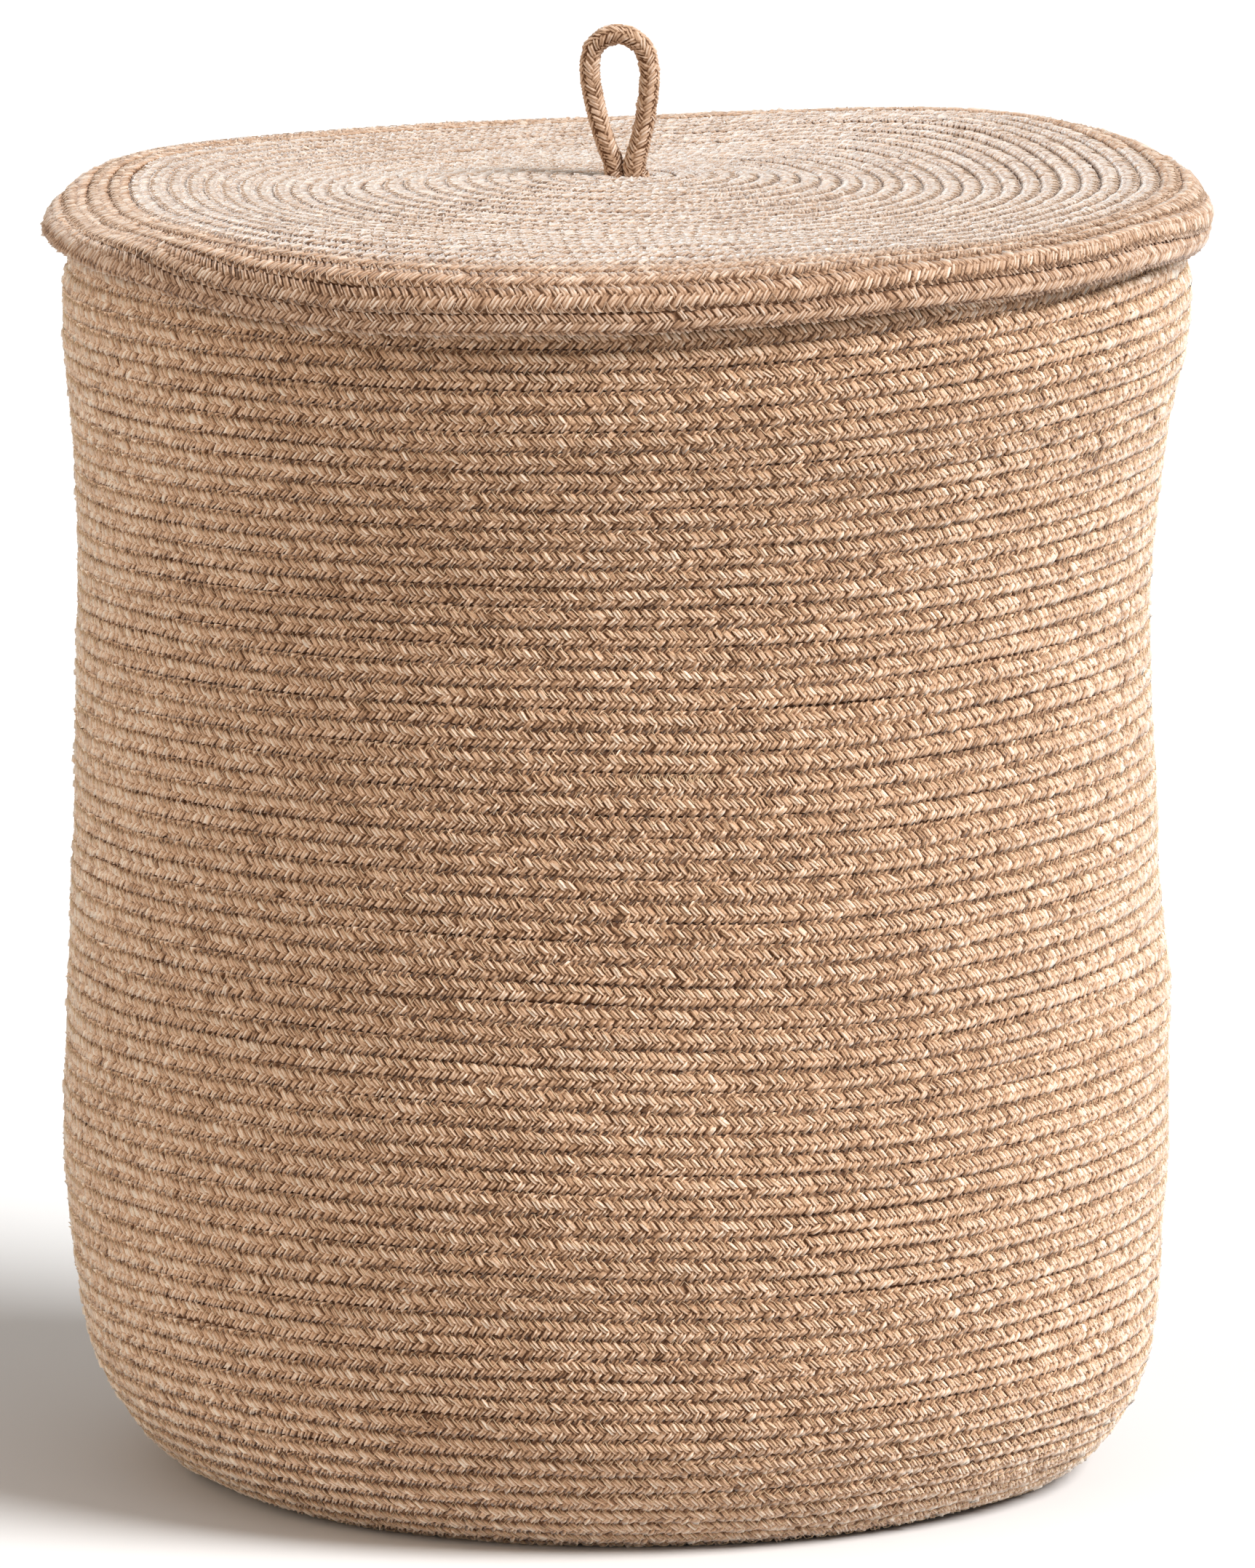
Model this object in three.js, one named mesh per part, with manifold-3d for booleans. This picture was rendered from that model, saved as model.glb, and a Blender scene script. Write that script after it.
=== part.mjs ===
// Laundry hamper with a lift-off lid, sewn up from coiled braided rope.
// Millimetres, +Z up. The origin is the centre of the base, on the floor.
// The rope rounds lie on one line, seen in section: out across the base, round the
// heel and up the wall. The lid has a line of its own, from its middle out to the
// edge and down its turned-down skirt.

import * as THREE from "three";
import { mergeVertices } from "three/addons/utils/BufferGeometryUtils.js";
import Module from "manifold-3d";

// Driving dimensions
const ROPE = 8; // thickness of the braided rope, and of every wall sewn from it
const GROOVE_DEPTH = 1.2; // how far the valley between two rounds lies below their crests
const GAP = 0.3; // clearance between neighbouring solids

const FLAT_RADIUS = 165; // edge of the flat base
const HEEL_START = 170; // where the rope's middle starts to climb into the heel
// Middles of the rope up the rounded heel, as [radius, height].
const HEEL_MIDDLES = [
  [176, 7],
  [187, 17.3],
  [198, 35.5],
  [205, 57],
  [209.7, 100],
];
const BULGE_RADIUS = 215.5; // outside of the wall at its fullest, low down
const BULGE_HEIGHT = 140;
const BELOW_WAIST = [208, 225]; // middle of the rope between bulge and waist
const WAIST_RADIUS = 208; // outside of the wall at its slimmest
const WAIST_HEIGHT = 340;
const ABOVE_WAIST = [207.5, 402]; // middle of the rope between waist and collar
const COLLAR_HEIGHT = 448; // from here up to the rim the wall stands straight
const MOUTH_RADIUS = 217.5; // outside of the wall at the rim
const RIM_HEIGHT = 493; // top of the last round of the wall
const HEEL_TOP = 52; // height at which the heel's rounds give way to the wall's

const LID_RIM_GAP = 0.8; // play between the lid's skirt and the rim that it drops over
const SKIRT_BOTTOM = 472; // lowest edge of the lid's skirt
const MOUND_TOP = 505.5; // top of the lid's middle, where the loop is sewn through
const VALLEY_RADIUS = 130; // where the lid's top sags between its middle and its edge
const VALLEY_TOP = 499.5;
const MOUND_RADIUS = 50; // the middle mound is nearly level out to here
const MOUND_FALL = 0.8;
const SHOULDER_RADIUS = 190; // where the lid's top levels out again near its edge
const SHOULDER_FALL = 0.4; // how far the shoulder lies below the edge

const LOOP_TOP = 564; // top of the loop handle
const LOOP_WIDTH = 31; // across the outside of the loop
const LEG_SPREAD = 9.4; // between the middles of the loop's two legs, where they enter the lid
// How the loop bows out above its feet, as [distance out from the foot, height over the foot].
const LOOP_BOW = [
  [2.5, 9],
  [5.2, 21],
];
const LOOP_WIDEST_HEIGHT = 36; // over the foot
const LOOP_SHOULDER = [2.6, 4.5]; // in from the widest point, and down from the top
const LEG_DROP = 4; // how far a leg goes straight down into its hole before it bends
const TAIL_PLAY = 1.6; // slack between the lid's underside and a tail, besides the gap
const TAIL_REACH = 44; // how far each tail of the loop runs out under the lid
// How a tail bends outwards from its leg, as [distance out from the leg, height over the tail].
const TAIL_BEND = [
  [1.9, 1],
  [7, -1.4],
  [16, -0.6],
];
const TACK_PLACE = 31; // where the bar tack holds a tail, from the middle
const TACK_WIDTH = 6;
const TACK_THICKNESS = 1.6;
const TACK_SLACK = 0.3; // how far a tack hangs below its tail's middle
const TACK_END_GAP = 0.4; // how far a tack's ends stop short of the lid

const AROUND = 32; // facets round the hamper
const ROPE_SIDES = 10; // facets round a single rope
const LOOP_STEPS = 24; // facets along the loop, a tail, and the plain side of each shell
const TAIL_STEPS = 16;
const HEEL_STEPS = 8;
const WALL_STEPS = 14;
const DISC_STEPS = 9;
const SKIRT_STEPS = 7;
const HOLE_SIDES = 20;
const BALL_SIDES = 12;
const BALL_RINGS = 8;
const TACK_STEPS = 10;
const LINE_SAMPLES = 2000; // samples on a section line when a height is looked up
const MERGE_DISTANCE = 1e-4; // vertices nearer than this are one

const HALF_ROPE = ROPE / 2;

const kernel = await Module();
kernel.setup();

const ropeColour = new THREE.Color(0.62, 0.45, 0.31);
const lidColour = new THREE.Color(0.68, 0.5, 0.36);
const threadColour = new THREE.Color(0.8, 0.68, 0.5);

function cottonRope(colour) {
  return new THREE.MeshStandardMaterial({ color: colour, roughness: 0.9, metalness: 0 });
}

// Turns a closed [radius, height] outline about the Z axis.
function revolve(outline) {
  const geometry = new THREE.LatheGeometry([...outline, outline[0]], AROUND);
  return geometry.rotateX(Math.PI / 2);
}

// Points beside a section line: on its right when `offset` is positive, else on its left.
// `depthAt` says how far each point is sunk towards the line.
function offsetLine(curve, from, to, steps, offset, depthAt = () => 0) {
  const points = [];
  for (let i = 0; i <= steps; i++) {
    const u = from + ((to - from) * i) / steps;
    const at = curve.getPointAt(u);
    const along = curve.getTangentAt(u);
    const distance = offset - Math.sign(offset) * depthAt(i);
    points.push(new THREE.Vector2(at.x + along.y * distance, at.y - along.x * distance));
  }
  return points;
}

// The outer side of rope rounds: two steps to a round, with a valley at every other point.
function roundedSide(curve, from, to, offset) {
  const rounds = Math.max(2, Math.round(((to - from) * curve.getLength()) / ROPE));
  return offsetLine(curve, from, to, 2 * rounds, offset, (i) => (i % 2 === 0 ? GROOVE_DEPTH : 0));
}

// A shell one rope thick that follows a section line from arc length `start` to `end`.
// `outerSide` is 1 where its outer side is on the line's right, and -1 on its left.
function coiledShell(curve, start, end, innerSteps, outerSide) {
  const from = start / curve.getLength();
  const to = end / curve.getLength();
  const outer = roundedSide(curve, from, to, outerSide * HALF_ROPE);
  const inner = offsetLine(curve, from, to, innerSteps, -outerSide * HALF_ROPE);
  return outerSide > 0 ? revolve([...outer, ...inner.reverse()]) : revolve([...inner, ...outer.reverse()]);
}

// A single round of rope: a ring of round section.
function ropeRing(radius, height) {
  const outline = [];
  for (let i = 0; i < ROPE_SIDES; i++) {
    const angle = (2 * Math.PI * i) / ROPE_SIDES;
    const x = radius + HALF_ROPE * Math.cos(angle);
    outline.push(new THREE.Vector2(x, height + HALF_ROPE * Math.sin(angle)));
  }
  return revolve(outline);
}

function ropeSection() {
  const section = new THREE.Shape();
  for (let i = 0; i < ROPE_SIDES; i++) {
    const angle = (2 * Math.PI * i) / ROPE_SIDES;
    const x = HALF_ROPE * Math.cos(angle);
    const y = HALF_ROPE * Math.sin(angle);
    if (i === 0) section.moveTo(x, y);
    else section.lineTo(x, y);
  }
  return section;
}

// A length of rope along a curve, with flat ends.
function ropeAlong(curve, steps) {
  return new THREE.ExtrudeGeometry(ropeSection(), { steps, extrudePath: curve, bevelEnabled: false });
}

// A closed mesh as a solid for cutting and joining.
function solidOf(geometry) {
  const bare = geometry.clone();
  bare.deleteAttribute("normal");
  bare.deleteAttribute("uv");
  const merged = mergeVertices(bare, MERGE_DISTANCE);
  const mesh = new kernel.Mesh({
    numProp: 3,
    vertProperties: merged.attributes.position.array,
    triVerts: new Uint32Array(merged.index.array),
  });
  return new kernel.Manifold(mesh);
}

function geometryOf(solid) {
  const mesh = solid.getMesh();
  const geometry = new THREE.BufferGeometry();
  geometry.setAttribute("position", new THREE.BufferAttribute(mesh.vertProperties, 3));
  geometry.setIndex(new THREE.BufferAttribute(mesh.triVerts, 1));
  geometry.computeVertexNormals();
  return geometry;
}

// The section lines: where the middle of the rope runs.
const wallTop = RIM_HEIGHT - ROPE;
const flatEdge = new THREE.Vector2(FLAT_RADIUS, HALF_ROPE);
const heelStart = new THREE.Vector2(HEEL_START, HALF_ROPE);
const wallCurve = new THREE.SplineCurve([
  heelStart,
  ...HEEL_MIDDLES.map(([radius, height]) => new THREE.Vector2(radius, height)),
  new THREE.Vector2(BULGE_RADIUS - HALF_ROPE, BULGE_HEIGHT),
  new THREE.Vector2(...BELOW_WAIST),
  new THREE.Vector2(WAIST_RADIUS - HALF_ROPE, WAIST_HEIGHT),
  new THREE.Vector2(...ABOVE_WAIST),
  new THREE.Vector2(MOUTH_RADIUS - HALF_ROPE, COLLAR_HEIGHT),
  new THREE.Vector2(MOUTH_RADIUS - HALF_ROPE, wallTop),
]);
const wallLine = new THREE.CurvePath();
wallLine.add(new THREE.LineCurve(flatEdge, heelStart));
wallLine.add(wallCurve);

const rimMiddle = new THREE.Vector2(MOUTH_RADIUS - HALF_ROPE, RIM_HEIGHT - HALF_ROPE);
const lidBend = ROPE + LID_RIM_GAP; // the lid's edge bends round the rim at this radius
const lidEdgeTop = new THREE.Vector2(rimMiddle.x, rimMiddle.y + lidBend);

const discLine = new THREE.SplineCurve([
  new THREE.Vector2(0, MOUND_TOP - HALF_ROPE),
  new THREE.Vector2(MOUND_RADIUS, MOUND_TOP - HALF_ROPE - MOUND_FALL),
  new THREE.Vector2(VALLEY_RADIUS, VALLEY_TOP - HALF_ROPE),
  new THREE.Vector2(SHOULDER_RADIUS, lidEdgeTop.y - SHOULDER_FALL),
  lidEdgeTop,
]);

const skirtLine = new THREE.CurvePath();
const skirtBend = new THREE.EllipseCurve(rimMiddle.x, rimMiddle.y, lidBend, lidBend, Math.PI / 2, 0, true);
const skirtDrop = new THREE.LineCurve(
  new THREE.Vector2(rimMiddle.x + lidBend, rimMiddle.y),
  new THREE.Vector2(rimMiddle.x + lidBend, SKIRT_BOTTOM),
);
skirtLine.add(skirtBend);
skirtLine.add(skirtDrop);

// The arc length at which a section line first reaches a height.
function lengthAtHeight(curve, height) {
  for (let i = 0; i <= LINE_SAMPLES; i++) {
    const u = i / LINE_SAMPLES;
    if (curve.getPointAt(u).y >= height) return curve.getLength() * u;
  }
  return curve.getLength();
}

function baseCoil() {
  const edge = FLAT_RADIUS - GAP;
  const outline = [
    new THREE.Vector2(0, 0),
    new THREE.Vector2(edge, 0),
    new THREE.Vector2(edge, ROPE),
    new THREE.Vector2(0, ROPE),
  ];
  return revolve(outline);
}

function heelCoil() {
  return coiledShell(wallLine, 0, lengthAtHeight(wallLine, HEEL_TOP), HEEL_STEPS, 1);
}

function wallCoil() {
  const start = lengthAtHeight(wallLine, HEEL_TOP) + GAP;
  return coiledShell(wallLine, start, wallLine.getLength() - GAP, WALL_STEPS, 1);
}

function rimCoil() {
  return ropeRing(rimMiddle.x, rimMiddle.y);
}

// The lid's top, from the middle outwards, with two holes for the loop's legs.
function lidDiscCoil() {
  const to = 1 - GAP / discLine.getLength();
  const top = roundedSide(discLine, 0, to, -HALF_ROPE);
  const under = offsetLine(discLine, 0, to, DISC_STEPS, HALF_ROPE);
  top[0].x = 0;
  under[0].x = 0;
  let disc = solidOf(revolve([...under, ...top.reverse()]));
  for (const side of [-1, 1]) {
    const hole = new THREE.CylinderGeometry(HALF_ROPE + GAP, HALF_ROPE + GAP, 4 * ROPE, HOLE_SIDES);
    hole.rotateX(Math.PI / 2).translate((side * LEG_SPREAD) / 2, 0, MOUND_TOP);
    disc = disc.subtract(solidOf(hole));
  }
  return geometryOf(disc);
}

function lidSkirtCoil() {
  return coiledShell(skirtLine, 0, skirtLine.getLength(), SKIRT_STEPS, -1);
}

// The loop stands on the lid. Its legs end in round balls, so that it can lie down.
const loopFoot = MOUND_TOP + HALF_ROPE + GAP;
function loopHandle() {
  const foot = LEG_SPREAD / 2;
  const widest = LOOP_WIDTH / 2 - HALF_ROPE;
  const top = LOOP_TOP - HALF_ROPE;
  const rightHalf = [
    [foot, loopFoot],
    ...LOOP_BOW.map(([out, up]) => [foot + out, loopFoot + up]),
    [widest, loopFoot + LOOP_WIDEST_HEIGHT],
    [widest - LOOP_SHOULDER[0], top - LOOP_SHOULDER[1]],
  ];
  const left = rightHalf.map(([x, z]) => new THREE.Vector3(-x, 0, z));
  const right = rightHalf.map(([x, z]) => new THREE.Vector3(x, 0, z)).reverse();
  const path = new THREE.CatmullRomCurve3([...left, new THREE.Vector3(0, 0, top), ...right]);
  let loop = solidOf(ropeAlong(path, LOOP_STEPS));
  for (const side of [-1, 1]) {
    const ball = new THREE.SphereGeometry(HALF_ROPE, BALL_SIDES, BALL_RINGS).translate(side * foot, 0, loopFoot);
    loop = loop.add(solidOf(ball));
  }
  return geometryOf(loop);
}

// Each leg goes on through the lid, bends and runs outwards under it.
const tailHeight = MOUND_TOP - TAIL_PLAY - ROPE - GAP - HALF_ROPE;
function loopTail(side) {
  const leg = LEG_SPREAD / 2;
  const points = [
    [leg, MOUND_TOP - GAP],
    [leg, MOUND_TOP - LEG_DROP],
    [leg, MOUND_TOP - ROPE],
    ...TAIL_BEND.map(([out, up]) => [leg + out, tailHeight + up]),
    [TAIL_REACH, tailHeight],
  ];
  const path = new THREE.CatmullRomCurve3(points.map(([x, z]) => new THREE.Vector3(side * x, 0, z)));
  return ropeAlong(path, TAIL_STEPS);
}

// A bar tack: a band of thread that holds a tail up against the lid.
function tailTack(side) {
  const inner = HALF_ROPE + GAP;
  const outer = inner + TACK_THICKNESS;
  const end = inner - TACK_END_GAP;
  const band = new THREE.Shape();
  band.moveTo(-outer, end);
  band.lineTo(-outer, 0);
  band.absarc(0, 0, outer, Math.PI, 2 * Math.PI, false);
  band.lineTo(outer, end);
  band.lineTo(inner, end);
  band.lineTo(inner, 0);
  band.absarc(0, 0, inner, 2 * Math.PI, Math.PI, true);
  band.lineTo(-inner, end);
  const options = { depth: TACK_WIDTH, bevelEnabled: false, curveSegments: TACK_STEPS };
  const tack = new THREE.ExtrudeGeometry(band, options);
  tack.rotateX(Math.PI / 2).rotateZ(Math.PI / 2);
  return tack.translate(side * TACK_PLACE - TACK_WIDTH / 2, 0, tailHeight - TACK_SLACK);
}

const hamper = new THREE.Group();

function addPart(name, geometry, material) {
  const mesh = new THREE.Mesh(geometry, material);
  mesh.name = name;
  hamper.add(mesh);
}

addPart("base_coil", baseCoil(), cottonRope(ropeColour));
addPart("heel_coil", heelCoil(), cottonRope(ropeColour));
addPart("wall_coil", wallCoil(), cottonRope(ropeColour));
addPart("rim_coil", rimCoil(), cottonRope(ropeColour));
addPart("lid_disc_coil", lidDiscCoil(), cottonRope(lidColour));
addPart("lid_skirt_coil", lidSkirtCoil(), cottonRope(lidColour));
addPart("loop_handle", loopHandle(), cottonRope(ropeColour));
for (const [word, side] of [["left", -1], ["right", 1]]) {
  addPart(`loop_tail_${word}`, loopTail(side), cottonRope(ropeColour));
  addPart(`tail_tack_${word}`, tailTack(side), cottonRope(threadColour));
}

export default hamper;
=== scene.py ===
"""Coiled rope laundry hamper with a capping lid.

Braided rope, zigzag stitching and a rope loop, built over the frame's bodies.
"""

import math
from collections import namedtuple

import bpy
import numpy as np
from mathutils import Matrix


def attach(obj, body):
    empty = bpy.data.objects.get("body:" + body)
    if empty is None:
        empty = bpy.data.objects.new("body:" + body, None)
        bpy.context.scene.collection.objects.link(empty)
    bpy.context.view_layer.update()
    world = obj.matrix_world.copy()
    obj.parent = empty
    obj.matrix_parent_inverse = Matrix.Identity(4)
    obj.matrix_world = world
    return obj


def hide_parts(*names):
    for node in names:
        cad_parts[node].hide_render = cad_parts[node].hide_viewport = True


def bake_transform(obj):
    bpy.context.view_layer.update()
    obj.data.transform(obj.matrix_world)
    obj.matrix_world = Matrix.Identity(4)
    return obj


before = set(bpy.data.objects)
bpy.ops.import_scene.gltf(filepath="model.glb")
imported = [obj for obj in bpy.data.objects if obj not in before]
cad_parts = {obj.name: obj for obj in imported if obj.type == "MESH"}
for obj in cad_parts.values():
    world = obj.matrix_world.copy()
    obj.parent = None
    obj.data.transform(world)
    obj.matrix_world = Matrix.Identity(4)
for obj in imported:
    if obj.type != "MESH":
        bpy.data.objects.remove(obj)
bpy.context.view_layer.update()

# Shapes are worked out in millimetres and become metres in Parts.mesh.
MM = 0.001
# Distance from one round of the rope to the next.
ROPE = 8.0
TURN = 2 * math.pi

# Rope middle, as (radius, height), from the centre of the base out and up to the rim.
HEEL_RADIUS = 170.0
HAMPER_BASE = [(0.0, 4.0), (HEEL_RADIUS, 4.0)]
HAMPER_WALL = [
    (HEEL_RADIUS, 4), (176, 7), (187, 17.3), (198, 35.5), (205, 57), (209.7, 100), (211.5, 140),
    (208, 225), (204, 340), (207.5, 402), (213.5, 448), (213.5, 489),
]
# The lid's rope middle, from its centre out, over the rim and down the skirt.
LID_TOP = [(0, 501.5), (50, 500.7), (130, 495.5), (190, 497.4), (213.5, 497.8)]
SKIRT_BEND = 8.8
SKIRT_LAST_ROW = 476.0
RIM_MIDDLE = (213.5, 489.0)

# A braid has columns of strands round the rope, each slanting the other way from its neighbours. Its facts
# are its pitch, how far a strand runs along the rope, a strand's width, the number of columns, how far a
# strand's crown and edges stand off the rope's outline, and how much painted shade darkens it toward the
# seams.
Braid = namedtuple("Braid", "pitch run width columns crown edge seam_tint")
COIL_BRAID = Braid(3.35, 4.3, 2.65, 8, 0.95, -0.66, 0.35)
LID_BRAID = Braid(3.35, 4.3, 2.6, 8, 0.5, -0.6, 0.2)
LOOP_BRAID = Braid(3.0, 4.4, 2.6, 6, 0.4, -0.5, 0.0)
# How far a strand reaches past its column's edges.
STRAND_OVERLAP = 1.3
# The coiled rope's outline: half its thickness, half its height, and a power, boxier the smaller it is.
ROPE_OUT = 3.5
ROPE_UP = 4.5
SQUARENESS = 0.56
# How far round the rope the braid is turned, and the share of the rope's twist that it follows.
BRAID_LEAN = -0.9
BRAID_TWIST = 0.5


def bump(value, middle, spread):
    return np.exp(-(((value - middle) / spread) ** 2))


def smooth(value):
    """A step that eases from 0 at 0 to 1 at 1."""
    value = np.clip(value, 0, 1)
    return value * value * (3 - 2 * value)


def degrees_from(phi, middle):
    """How far round the body an azimuth is from another in degrees, from -180 to 180."""
    return (np.degrees(phi) - middle + 180) % 360 - 180


def turned(phi, middle, spread):
    """A bump round the body, at an azimuth in degrees."""
    return np.exp(-((degrees_from(phi, middle) / spread) ** 2))


def catmull_rom(points, steps=40):
    """A smooth line through points, which keeps its end points."""
    p = np.array(points, float)
    p = np.vstack([p[:1], p, p[-1:]])
    t = np.linspace(0, 1, steps, endpoint=False)[:, None]
    out = []
    for a, b, c, d in zip(p[:-3], p[1:-2], p[2:-1], p[3:]):
        out.append(0.5 * (2 * b + (c - a) * t + (2 * a - 5 * b + 4 * c - d) * t**2
                          + (3 * b - a - 3 * c + d) * t**3))
    return np.vstack(out + [p[-1:]])


SECTION_STEP = 0.5


class Section:
    """A section line of the coil, read by the distance along it."""

    def __init__(self, points, outside):
        p = np.array(points, float)
        keep = np.r_[True, np.hypot(*np.diff(p, axis=0).T) > 1e-6]
        p = p[keep]
        self.outside = outside
        s = np.r_[0, np.cumsum(np.hypot(*np.diff(p, axis=0).T))]
        self.length = s[-1]
        self.s = np.arange(0, self.length, SECTION_STEP)
        self.r = np.interp(self.s, s, p[:, 0])
        self.z = np.interp(self.s, s, p[:, 1])
        self.slope_r = np.gradient(self.r, self.s)
        self.slope_z = np.gradient(self.z, self.s)

    def at(self, s):
        """Radius, height and outward direction at distance s, running straight on past either end."""
        inside = np.clip(s, self.s[0], self.s[-1])
        past = s - inside
        tr = np.interp(inside, self.s, self.slope_r)
        tz = np.interp(inside, self.s, self.slope_z)
        size = np.hypot(tr, tz)
        tr, tz = tr / size, tz / size
        r = np.interp(inside, self.s, self.r) + past * tr
        z = np.interp(inside, self.s, self.z) + past * tz
        return r, z, self.outside * tz, -self.outside * tr


class Wander:
    """A smooth random line, read by distance, with knots a set distance apart."""

    def __init__(self, seed, length, knot):
        rng = np.random.default_rng(seed)
        self.knots = np.arange(0, length + 4 * knot, knot)
        self.values = rng.normal(0, 1, len(self.knots))

    def at(self, x):
        step = self.knots[1]
        i = np.clip((x / step).astype(int), 0, len(self.knots) - 2)
        f = smooth(x / step - i)
        return self.values[i] * (1 - f) + self.values[i + 1] * f


# The spiral starts this far along its section line, and is known this many radians past its end.
COIL_START = 3.0
COIL_SPARE = 0.2
COIL_STEPS = 90000
# How far the rope strays up its line and outward, and how far apart its straying and its twist change.
SWAY_UP, SWAY_OUT = 0.11, 0.18
SWAY_UP_KNOT, SWAY_OUT_KNOT, TWIST_KNOT = 37.0, 29.0, 55.0
# The seam lift grows from nothing at SEAM_FROM off the rope's middle to its full size over SEAM_OVER.
SEAM_FROM, SEAM_OVER = 2.0, 2.2
# The seam lift that would leave a seam without painted shade, no darker than the rope.
SHADELESS_LIFT = 0.8


class Coil:
    """One rope wound in a spiral along a section line.

    Points on it are given as (along the rope, up the section line, outward).
    """

    def __init__(self, section, seed, row_shift, settle, seam_lift, braid):
        self.section = section
        self.braid = braid
        self.row_shift = row_shift
        self.settle = settle
        self.seam_lift = seam_lift
        self.last_phi = TURN * math.floor(section.length / ROPE) + math.pi / 2
        first_phi = self.last_phi - TURN * (section.length - COIL_START) / ROPE
        self.phi = np.linspace(first_phi, self.last_phi + COIL_SPARE, COIL_STEPS)
        r = section.at(self.line(self.phi))[0]
        steps = np.hypot(np.diff(r), 0.5 * (r[1:] + r[:-1]) * np.diff(self.phi))
        self.l = np.r_[0, np.cumsum(steps)]
        self.length = np.interp(self.last_phi, self.phi, self.l)
        self.sway_up = Wander(seed, self.length, SWAY_UP_KNOT)
        self.sway_out = Wander(seed + 1, self.length, SWAY_OUT_KNOT)
        self.twist = Wander(seed + 2, self.length, TWIST_KNOT)

    def line(self, phi):
        """Distance along the section line that the spiral has reached at an azimuth."""
        return self.section.length - ROPE * (self.last_phi - phi) / TURN

    def rope_at_line(self, s):
        """Distance along the rope where the spiral reaches distance s of the section line."""
        return np.interp(self.last_phi - TURN * (self.section.length - s) / ROPE, self.phi, self.l)

    def seam_shade(self, along):
        """How deep the seams are along the rope, as a share, and so how much painted shade they get: less
        where the rows lie flat.
        """
        phi = np.interp(along, self.l, self.phi)
        return 1 - self.seam_lift(phi, self.line(phi)) / SHADELESS_LIFT

    def place(self, along, up, out):
        """World points, in millimetres, of points on the rope."""
        phi = np.interp(along, self.l, self.phi)
        s = self.line(phi) + up + SWAY_UP * self.sway_up.at(along)
        s = s + self.row_shift(phi, s)
        r, z, nr, nz = self.section.at(s)
        out = out + self.seam_lift(phi, s) * smooth((np.abs(up) - SEAM_FROM) / SEAM_OVER)
        out = out + SWAY_OUT * self.sway_out.at(along)
        r, z = r + out * nr, z + out * nz
        x, y, z = self.settle(phi, r, z)
        return np.stack([x, y, z], -1)


# How the soft hamper stands: leaning, dented and with its rows not quite level. Azimuths and their spreads
# are in degrees from +X, so -90 is the front. Heights, lines and amounts are in millimetres.
LEAN_HEIGHTS = [0, 40, 100, 250, 330, 400, 450, 500]
LEAN = [0, 2.0, 4.0, 4.2, 5.4, 3.0, 0.4, 0]
TILT_LINE = [0, 200, 280, 365, 447, 530, 615, 690]
TILT = [0, 0, -0.018, -0.027, -0.02, -0.007, 0.008, 0.012]
# The tilt is a share of the radius, up to the wall's, and this much less toward the left and right ends.
TILT_RADIUS = 212
END_TILT = 0.02
# The wall begins this far along the section line, and its own unevenness is full after this much more.
WALL_FROM, WALL_OVER = 200, 60
FLOOR_GAP = 0.1


def hamper_rows(phi, s):
    """How far the rows are shifted up the wall: tilted from left to right, and sagging near the front."""
    r = np.clip(s, 0, TILT_RADIUS)
    c = np.cos(phi)
    ends = END_TILT * np.clip((s - WALL_FROM) / WALL_OVER, 0, 1) * c**3
    sag = 2.2 * turned(phi, -70, 24) * bump(s, 400, 170)
    return r * (np.interp(s, TILT_LINE, TILT) * c + ends) - sag


def hamper_seams(phi, s):
    """How far the rope bulges out toward its seams, where the rows lie flat against each other."""
    flatness = 0.75 * turned(phi, -158, 42) + 0.45 * turned(phi, -5, 34)
    return smooth((s - WALL_FROM) / WALL_OVER) * flatness


def hamper_settle(phi, r, z):
    """World place of a point on the round hamper once the soft wall has settled."""
    # A belly at the front left and a hollow at the front right, over the wall but not its ends.
    body = np.clip(z / 60, 0, 1) * np.clip((455 - z) / 60, 0, 1)
    r = r + body * 2.2 * turned(phi, -118, 30)
    r = r - body * 3.0 * turned(phi, -38, 26)
    # A slanting crease at the lower right with a bulge under it.
    crease = z - 205 - 0.9 * degrees_from(phi, -25)
    r = r - 3.2 * turned(phi, -22, 20) * bump(crease, 0, 26)
    r = r + 2.6 * turned(phi, -4, 20) * bump(crease, -32, 24)
    # The heel, raised a little off the floor, more so in places, and bulging at the right.
    heel = smooth((r - 132) / 38) * smooth((62 - z) / 62)
    raised = 0.3 * turned(phi, -115, 16) + 2.4 * turned(phi, -154, 18) + 1.6 * turned(phi, -37, 16)
    z = z + (0.5 + raised) * heel
    r = r + 4.5 * turned(phi, -28, 20) * bump(z, 30, 26)
    # The rim, held in by the lid at both sides, and the top rows, low at the front.
    r = r - 2.5 * (turned(phi, 180, 42) + turned(phi, 0, 34)) * smooth((z - 464) / 14)
    z = z - 7.5 * turned(phi, -100, 55) * smooth((z - 320) / 165)
    x = r * np.cos(phi) - np.interp(z, LEAN_HEIGHTS, LEAN)
    return x, r * np.sin(phi), np.maximum(z, FLOOR_GAP)


# Height of the skirt's lower edge round the lid, by azimuth, and on the plain section line.
SKIRT_AZIMUTH = [-180, -147, -131, -117, -90, -73, -61, -47, -29, -6, 30, 90, 150, 180]
SKIRT_EDGE = [478, 475, 468, 465.5, 468.5, 472, 476, 478, 481, 477.5, 479, 477, 478, 478]
SKIRT_LEVEL = SKIRT_LAST_ROW - ROPE / 2
LID_EDGE_RADIUS = 216.0


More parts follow.
